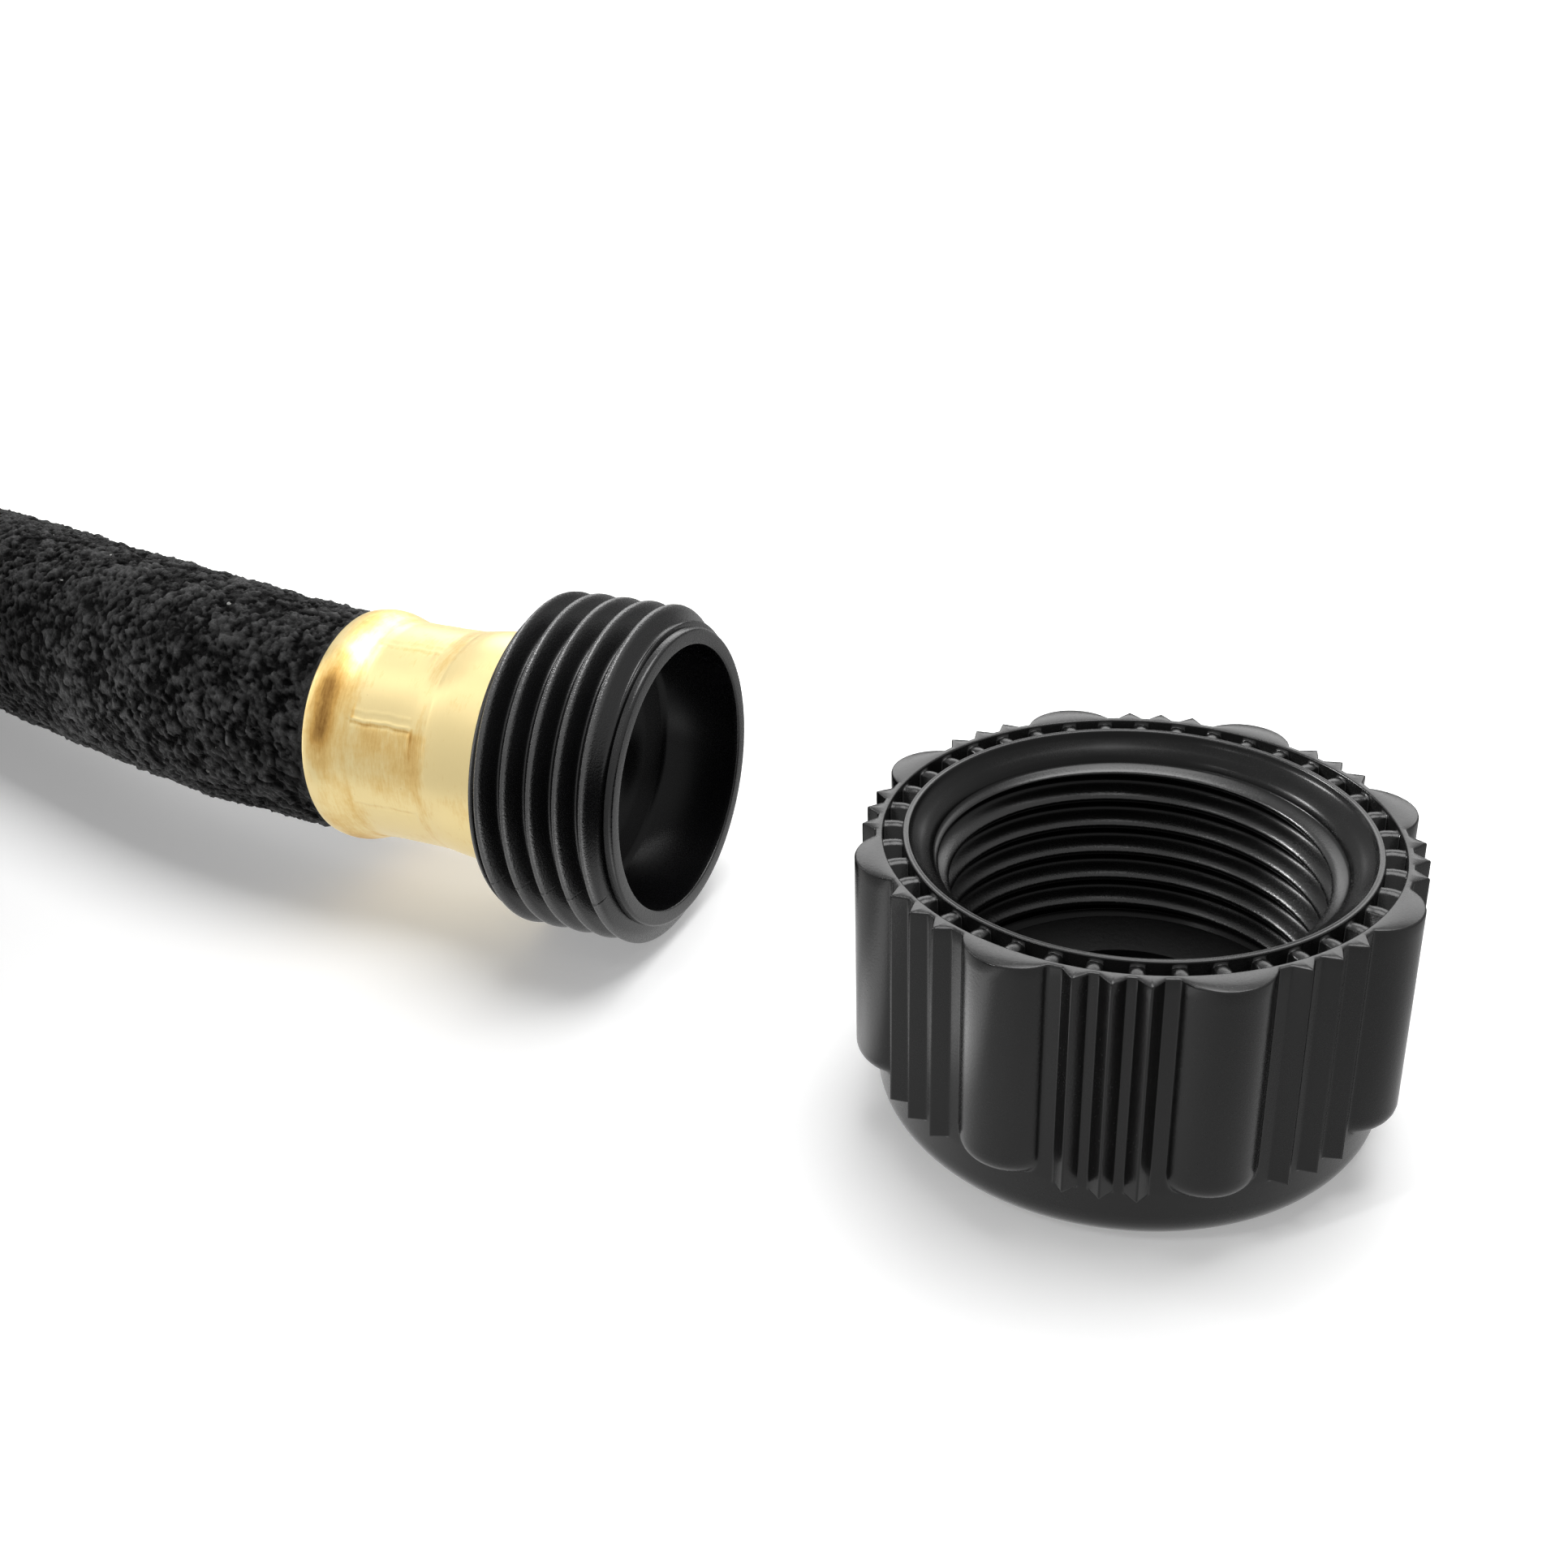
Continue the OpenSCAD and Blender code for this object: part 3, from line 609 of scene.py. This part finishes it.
def pale_grains(tree, where, tone, width, share, reach, colour):
    """The tone with rare pale grains: of cells of that width in mm, the share from 0 to 1 has none, and
    each of the others has one, which reaches so many cell widths from its middle."""
    cell = node(tree, "TexVoronoi", {"Vector": where, "Scale": cells(width)})
    lot = node(tree, "SeparateColor", {"Color": cell.outputs["Color"]}).outputs["Red"]
    chosen = node(tree, "Math", {0: lot, 1: share}, operation="GREATER_THAN")
    close = node(tree, "Math", {0: cell, 1: reach}, operation="LESS_THAN")
    grain = node(tree, "Math", {0: chosen, 1: close}, operation="MULTIPLY")
    return node(tree, "Mix", {0: grain, 6: tone, 7: srgb(colour)}, data_type="RGBA").outputs[2]


def rubber_material():
    """Extruded crumb rubber: a few pale grains, and colour and gloss that follow crumb height, with painted
    shade in the pits between the crumbs and the crumbs' upper faces painted greyer, as if lit. Where the
    attribute plain is 1 the mesh is smooth, and packed crumbs of the mesh's two sizes come from Voronoi
    cells bent by noise, whose height of 1 stands for 1 mm."""
    material, tree, shader, where = new_material("extruded_crumb_rubber", IOR=1.52)
    crumb = node(tree, "Attribute", attribute_name="crumb").outputs["Fac"]
    plain = node(tree, "Attribute", attribute_name="plain").outputs["Fac"]
    drift = node(tree, "TexNoise", {"Vector": where, "Scale": cells(0.77), "Detail": 1.0}).outputs["Color"]
    bent = node(tree, "VectorMath", {0: drift, 1: [0.9 * MM] * 3, 2: where}, operation="MULTIPLY_ADD")
    packed = node(tree, "TexVoronoi", {"Vector": bent, "Scale": cells(0.82)})
    fines = node(tree, "TexVoronoi", {"Vector": bent, "Scale": cells(0.44)})
    own = node(tree, "Math", {0: packed, 1: -0.66, 2: 0.93}, operation="MULTIPLY_ADD")
    own = node(tree, "Math", {0: fines, 1: -0.42, 2: own}, operation="MULTIPLY_ADD")
    own = node(tree, "Math", {0: own, 1: plain}, operation="MULTIPLY")
    crumb = node(tree, "Math", {0: crumb, 1: own}, operation="ADD")
    relief = node(tree, "Bump", {"Height": own, "Distance": MM, "Strength": 1.0})

    big = node(tree, "TexVoronoi", {"Vector": where, "Scale": cells(0.71)})
    small = node(tree, "TexVoronoi", {"Vector": where, "Scale": cells(0.345)})
    grain = node(tree, "TexNoise", {"Vector": where, "Scale": cells(0.24), "Detail": 5.0, "Roughness": 0.75})
    patch = node(tree, "TexNoise", {"Vector": where, "Scale": cells(3.0), "Detail": 4.0, "Roughness": 0.6})
    height = node(tree, "Math", {0: big, 1: -0.55}, operation="MULTIPLY")
    height = node(tree, "Math", {0: small, 1: -0.34, 2: height}, operation="MULTIPLY_ADD")
    height = node(tree, "Math", {0: grain, 1: 0.75, 2: height}, operation="MULTIPLY_ADD")
    skin = node(tree, "Bump", {"Height": height, "Distance": 0.6 * MM, "Strength": 1.0, "Normal": relief})

    # Painted shade: the colour darkens from the crumbs' upper faces down into the pits between them.
    pit_shade_stops = ((0.28, "#020202"), (0.42, "#101010"), (0.60, "#2b2b2b"), (0.82, "#4a4a4a"))
    tone = node(tree, "ValToRGB", {"Fac": crumb}, pit_shade_stops)
    worn = node(tree, "ValToRGB", {"Fac": patch}, ((0.42, 0.0), (0.72, 0.25)))
    tone = node(tree, "Mix", {0: worn, 6: tone, 7: srgb("#303030")}, data_type="RGBA").outputs[2]
    lot = node(tree, "SeparateColor", {"Color": big.outputs["Color"]}).outputs["Green"]
    paler = node(tree, "ValToRGB", {"Fac": lot}, ((0.70, 0.0), (1.0, 0.6)))
    tone = node(tree, "Mix", {0: paler, 6: tone, 7: srgb("#4c4c4c")}, data_type="RGBA").outputs[2]
    tone = pale_grains(tree, where, tone, width=1.1, share=0.976, reach=0.18, colour="#c9c9c6")
    rough = node(tree, "ValToRGB", {"Fac": grain}, ((0.35, 0.36), (0.65, 0.70)))
    # Painted shade in the gloss as well: the pits shine less than the crumbs' upper faces.
    level = node(tree, "ValToRGB", {"Fac": crumb}, ((0.25, 0.05), (0.60, 0.55)))
    tree.links.new(tone, shader.inputs["Base Color"])
    tree.links.new(rough.outputs[0], shader.inputs["Roughness"])
    tree.links.new(level.outputs[0], shader.inputs["Specular IOR Level"])
    tree.links.new(skin.outputs[0], shader.inputs["Normal"])
    return material


def plastic_material(name, ior, low, high, roughness, grain, depth, shine, clean=0.992):
    """Moulded or pressed black polymer: slow colour and gloss drift, the fine grain of its mould in the
    bump, and rare pale dust. Where the attribute dull is 1 it shines less, which paints shade, and has no
    grain; below 0 it shines more, which paints sheen."""
    material, tree, shader, where = new_material(name, IOR=ior)
    patch = node(tree, "TexNoise", {"Vector": where, "Scale": cells(5.9), "Detail": 4.0, "Roughness": 0.55})
    fine = node(tree, "TexNoise", {"Vector": where, "Scale": cells(grain), "Detail": 2.0, "Roughness": 0.6})
    tone = node(tree, "ValToRGB", {"Fac": patch}, ((0.3, low), (0.7, high)))
    tone = pale_grains(tree, where, tone, width=2.4, share=clean, reach=0.05, colour="#a8a8a8")
    rough = node(tree, "Math", {0: patch, 1: 0.10, 2: roughness - 0.12}, operation="MULTIPLY_ADD")
    rough = node(tree, "Math", {0: fine, 1: 0.14, 2: rough}, operation="MULTIPLY_ADD")
    shade_and_sheen = node(tree, "Attribute", attribute_name="shade_and_sheen").outputs["Fac"]
    # The gloss paints shade where the attribute is 1 and sheen where it is below 0.
    gloss = node(tree, "Math", {0: shade_and_sheen, 1: -0.62 * shine, 2: shine}, operation="MULTIPLY_ADD")
    grainy = node(tree, "Math", {0: 1.0, 1: shade_and_sheen}, operation="SUBTRACT")
    height = node(tree, "Math", {0: fine, 1: grainy}, operation="MULTIPLY")
    skin = node(tree, "Bump", {"Height": height, "Distance": depth, "Strength": 0.8})
    tree.links.new(tone, shader.inputs["Base Color"])
    tree.links.new(rough.outputs[0], shader.inputs["Roughness"])
    tree.links.new(gloss.outputs[0], shader.inputs["Specular IOR Level"])
    tree.links.new(skin.outputs[0], shader.inputs["Normal"])
    return material


def brass_material():
    """Thin drawn brass: yellow metal that darkens to brown where the attribute tarnish says, which is partly
    stain and partly painted shade, with fine drawing lines round it, and die chatter where the attribute
    hatch says."""
    material, tree, shader, where = new_material("drawn_brass", Metallic=1.0)
    tarnish_and_shade = node(tree, "Attribute", attribute_name="tarnish_and_shade").outputs["Fac"]
    hatch = node(tree, "Attribute", attribute_name="hatch").outputs["Fac"]
    blotch = node(tree, "TexNoise", {"Vector": where, "Scale": cells(2.4), "Detail": 5.0, "Roughness": 0.65})
    speck = node(tree, "TexNoise", {"Vector": where, "Scale": cells(0.38), "Detail": 2.0, "Roughness": 0.55})
    narrow = node(tree, "Mapping", {"Vector": where, "Scale": (6.0, 1.0, 1.0)})
    lines = node(tree, "TexNoise", {"Vector": narrow, "Scale": cells(1.1), "Detail": 3.0, "Roughness": 0.6})
    stained = node(tree, "Math", {0: blotch, 1: 0.75, 2: -0.375}, operation="MULTIPLY_ADD")
    # The attribute brings painted shade into the brown along with the stains.
    stained = node(tree, "Math", {0: tarnish_and_shade, 1: stained}, operation="ADD")
    drawn = node(tree, "Math", {0: lines, 1: 0.45, 2: -0.225}, operation="MULTIPLY_ADD")
    stained = node(tree, "Math", {0: stained, 1: drawn}, operation="ADD")
    browning = ((0.08, "#f1dca2"), (0.34, "#e6c682"), (0.62, "#cda35c"), (0.98, "#8a6332"))
    tone = node(tree, "ValToRGB", {"Fac": stained}, browning)
    spots = node(tree, "ValToRGB", {"Fac": speck}, ((0.76, 0.0), (0.80, 0.35)))
    tone = node(tree, "Mix", {0: spots, 6: tone, 7: srgb("#a07c48")}, data_type="RGBA").outputs[2]
    rough = node(tree, "Math", {0: blotch, 1: 0.16, 2: 0.30}, operation="MULTIPLY_ADD")
    rough = node(tree, "Math", {0: tarnish_and_shade, 1: 0.22, 2: rough}, operation="MULTIPLY_ADD")

    # A wave's bands lie pi / 10 of its unit apart
    bands = {"Vector": where, "Scale": cells(0.21) * math.pi / 10, "Distortion": 1.5, "Detail": 1.0}
    wave = node(tree, "TexWave", bands, bands_direction="X").outputs["Fac"]
    chatter = node(tree, "Math", {0: wave, 1: hatch}, operation="MULTIPLY")
    height = node(tree, "Math", {0: blotch, 1: 0.2}, operation="MULTIPLY")
    height = node(tree, "Math", {0: chatter, 1: 0.6, 2: height}, operation="MULTIPLY_ADD")
    height = node(tree, "Math", {0: lines, 1: 0.5, 2: height}, operation="MULTIPLY_ADD")
    skin = node(tree, "Bump", {"Height": height, "Distance": 0.04 * MM, "Strength": 0.6})
    tree.links.new(tone, shader.inputs["Base Color"])
    tree.links.new(rough.outputs[0], shader.inputs["Roughness"])
    tree.links.new(skin.outputs[0], shader.inputs["Normal"])
    return material


def dress(piece, material, body):
    """The piece gets its material and the body it moves with."""
    piece.data.materials.clear()
    piece.data.materials.append(material)
    if piece.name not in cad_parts:
        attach(piece, body)


rubber = rubber_material()
brass = brass_material()
coupling_plastic = plastic_material(
    "moulded_nylon", ior=1.53, low="#080809", high="#0d0d0e", roughness=0.27, grain=0.16, depth=0.02 * MM,
    shine=0.38,
)
grip_plastic = plastic_material(
    "moulded_polypropylene", ior=1.49, low="#090909", high="#0e0e0e", roughness=0.25, grain=0.16,
    depth=0.01 * MM, shine=0.35,
)
washer_rubber = plastic_material(
    "pressed_rubber", ior=1.52, low="#070707", high="#0c0c0c", roughness=0.60, grain=0.42, depth=0.05 * MM,
    shine=0.25, clean=0.9999,
)

hose = make_hose()
dress(hose, rubber, "hose")
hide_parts("hose_run", "hose_coil", "hose_tail")

coupling = make_coupling()
dress(coupling, coupling_plastic, "hose")
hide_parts("outlet_coupling")

outlet_ferrule = make_ferrule("outlet_ferrule_brass", seat=COUPLING_BACK - 0.05, place=at_outlet)
dress(outlet_ferrule, brass, "hose")
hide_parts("outlet_ferrule")
inlet_ferrule = make_ferrule("inlet_ferrule_brass", seat=-20.9, place=at_inlet)
dress(inlet_ferrule, brass, "hose")
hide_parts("inlet_ferrule")

cap = make_grip("end_cap_moulding", at_cap, bore_depth=14.3, floor_depth=17.4, hole_r=0.0)
dress(cap, grip_plastic, "end_cap")
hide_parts("end_cap")


def at_nut(points):
    """The nut's closed end lies one grip length behind the inlet's mouth."""
    return at_inlet(points - [0, 0, GRIP_H])


nut = make_grip("inlet_nut_moulding", at_nut, bore_depth=12.2, floor_depth=17.55, hole_r=8.9)
dress(nut, grip_plastic, "inlet_nut")
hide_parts("inlet_nut")

for name, material, slot_name in (
    ("outlet_hose_end", rubber, "porous_rubber"),
    ("inlet_hose_end", rubber, "porous_rubber"),
    ("inlet_stem", coupling_plastic, "coupling_plastic"),
    ("flow_restrictor", coupling_plastic, "coupling_plastic"),
    ("inlet_washer", washer_rubber, "washer_rubber"),
    ("cap_washer", washer_rubber, "washer_rubber"),
):
    dress(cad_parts[name], material, None)


# --- Floor and light ----------------------------------------------------------

def make_plane(name, corners):
    """A plane through four corners in mm, with an empty material: returns it and the material's
    tree."""
    mesh = bpy.data.meshes.new(name)
    mesh.from_pydata([[c * MM for c in corner] for corner in corners], [], [(0, 1, 2, 3)])
    plane = bpy.data.objects.new(name, mesh)
    bpy.context.scene.collection.objects.link(plane)
    material = bpy.data.materials.new(name)
    mesh.materials.append(material)
    return plane, bare_tree(material)


def spread(start, end, low, high):
    """Sockets of a Map Range node, whose value goes from low to high between two places in mm."""
    return {"From Min": start * MM, "From Max": end * MM, "To Min": low, "To Max": high}


def make_floor():
    """A wide pale floor just under the model, which keeps shadows. To the camera it also glows a little
    near the model and more further out, so that it runs white into the white world. Reflections see it
    mostly as a glow, white to the left and in front, greyer to the right and behind, and brightest in a
    band beside the cap."""
    reach, level = 6000.0, FLOOR - 0.02
    corners = [(x, y, level) for x, y in ((-reach, -reach), (reach, -reach), (reach, reach), (-reach, reach))]
    tree = make_plane("floor", corners)[1]
    rays = node(tree, "LightPath").outputs
    where = node(tree, "TexCoord").outputs["Object"]
    place = node(tree, "SeparateXYZ", {"Vector": where}).outputs
    away = node(tree, "VectorMath", {0: where}, operation="LENGTH").outputs["Value"]
    glow = node(tree, "MapRange", {"Value": away} | spread(100, 500, 0.32, 1.0))
    seen = node(tree, "Math", {0: rays["Is Camera Ray"], 1: glow}, operation="MULTIPLY")
    right = node(tree, "MapRange", {"Value": place["X"]} | spread(35, 75, 1.12, 0.64))
    behind = node(tree, "MapRange", {"Value": place["Y"]} | spread(0, 30, 1.0, 0.30))
    mirrored = node(tree, "Math", {0: right, 1: behind}, operation="MULTIPLY")
    rises = node(tree, "MapRange", {"Value": place["X"]} | spread(2, 8, 0.0, 2.6))
    falls = node(tree, "MapRange", {"Value": place["X"]} | spread(14, 20, 1.0, 0.0))
    ahead = node(tree, "MapRange", {"Value": place["Y"]} | spread(-12, -20, 0.0, 1.0))
    band = node(tree, "Math", {0: rises, 1: falls}, operation="MULTIPLY")
    mirrored = node(tree, "Math", {0: band, 1: ahead, 2: mirrored}, operation="MULTIPLY_ADD")
    diffuse = node(tree, "BsdfDiffuse", {"Color": (0.80, 0.80, 0.80, 1)})
    lit = node(tree, "AddShader", {0: diffuse, 1: node(tree, "Emission", {"Strength": seen})})
    image = node(tree, "Emission", {"Strength": mirrored})
    share = node(tree, "Math", {0: rays["Is Glossy Ray"], 1: 0.7}, operation="MULTIPLY")
    node(tree, "OutputMaterial", {"Surface": node(tree, "MixShader", {0: share, 1: lit, 2: image})})


def make_card():
    """A white card that stands between the brass and the pile of turns, as beside anything shiny that is on
    show. It shows in reflections and nowhere else, and is brighter towards its top and brightest at its
    left end."""
    centre, along, half, top = np.array([-35.0, -30.0]), np.array([0.82, -0.57]), 42.0, 78.0
    start, end = centre - half * along, centre + half * along
    corners = [(*start, FLOOR), (*end, FLOOR), (*end, top), (*start, top)]
    card, tree = make_plane("white_card", corners)
    place = node(tree, "SeparateXYZ", {"Vector": node(tree, "TexCoord").outputs["Object"]}).outputs
    rise = node(tree, "MapRange", {"Value": place["Z"]} | spread(-13, top, 0.68, 1.05))
    left = node(tree, "MapRange", {"Value": place["X"]} | spread(-48, -62, 0.0, 1.8))
    strength = node(tree, "Math", {0: rise, 1: left}, operation="ADD")
    node(tree, "OutputMaterial", {"Surface": node(tree, "Emission", {"Strength": strength})})
    card.visible_camera = False
    card.visible_diffuse = False
    card.visible_transmission = False
    card.visible_shadow = False


def make_world(level, mirrored):
    """Soft grey light all round. The camera sees white, and reflections see nearly white, but grey low down
    behind."""
    world = bpy.data.worlds.new("world")
    bpy.context.scene.world = world
    tree = bare_tree(world)
    rays = node(tree, "LightPath").outputs
    seen = node(tree, "Math", {0: rays["Is Camera Ray"], 1: rays["Is Transmission Ray"]}, operation="MAXIMUM")
    toward = node(tree, "SeparateXYZ", {"Vector": node(tree, "TexCoord").outputs["Generated"]}).outputs
    behind = {"Value": toward["Y"], "From Min": 0.25, "From Max": 0.85, "To Min": 0.0, "To Max": 0.65}
    low = {"Value": toward["Z"], "From Min": 0.10, "From Max": 0.50, "To Min": 1.0, "To Max": 0.0}
    less = {0: node(tree, "MapRange", behind), 1: node(tree, "MapRange", low)}
    less = node(tree, "Math", less, operation="MULTIPLY")
    strength = node(tree, "Math", {0: less, 1: -mirrored, 2: mirrored}, operation="MULTIPLY_ADD")
    soft = node(tree, "Background", {"Color": (1, 1, 1, 1), "Strength": level})
    shiny = node(tree, "Background", {"Color": (1, 1, 1, 1), "Strength": strength})
    white = node(tree, "Background", {"Color": (1, 1, 1, 1), "Strength": 1.0})
    lit = node(tree, "MixShader", {0: rays["Is Glossy Ray"], 1: soft, 2: shiny})
    node(tree, "OutputWorld", {"Surface": node(tree, "MixShader", {0: seen, 1: lit, 2: white})})


def make_lamp(name, place, aim, width, tall, power):
    """A rectangular soft lamp at a place in mm, turned towards an aim, its height nearest to upright."""
    data = bpy.data.lights.new(name, "AREA")
    data.shape = "RECTANGLE"
    data.size, data.size_y = width * MM, tall * MM
    data.energy = power
    lamp = bpy.data.objects.new(name, data)
    bpy.context.scene.collection.objects.link(lamp)
    away = np.array(place, float) - np.array(aim, float)
    away /= np.linalg.norm(away)
    side = np.cross([0, 0, 1.0], away)
    side /= np.linalg.norm(side)
    matrix = np.eye(4)
    matrix[:3, 0], matrix[:3, 1], matrix[:3, 2] = side, np.cross(away, side), away
    matrix[:3, 3] = np.array(place) * MM
    lamp.matrix_world = Matrix(matrix.tolist())


make_floor()
make_card()
make_world(level=0.26, mirrored=0.95)
make_lamp("overhead_lamp", (60, 140, 620), (0, -20, 0), width=400, tall=400, power=3.7)
make_lamp("back_lamp", (-80, 560, 300), (20, 0, 0), width=620, tall=320, power=1.6)
make_lamp("left_pane", (-430, -50, 250), (40, 0, 0), width=46, tall=150, power=2.1)
make_lamp("left_pane_behind", (-424, 12, 250), (40, 0, 0), width=46, tall=150, power=2.1)
make_lamp("front_strip", (-232, -350, 290), (10, 0, 0), width=24, tall=380, power=0.8)

bpy.context.scene.view_settings.view_transform = "Standard"
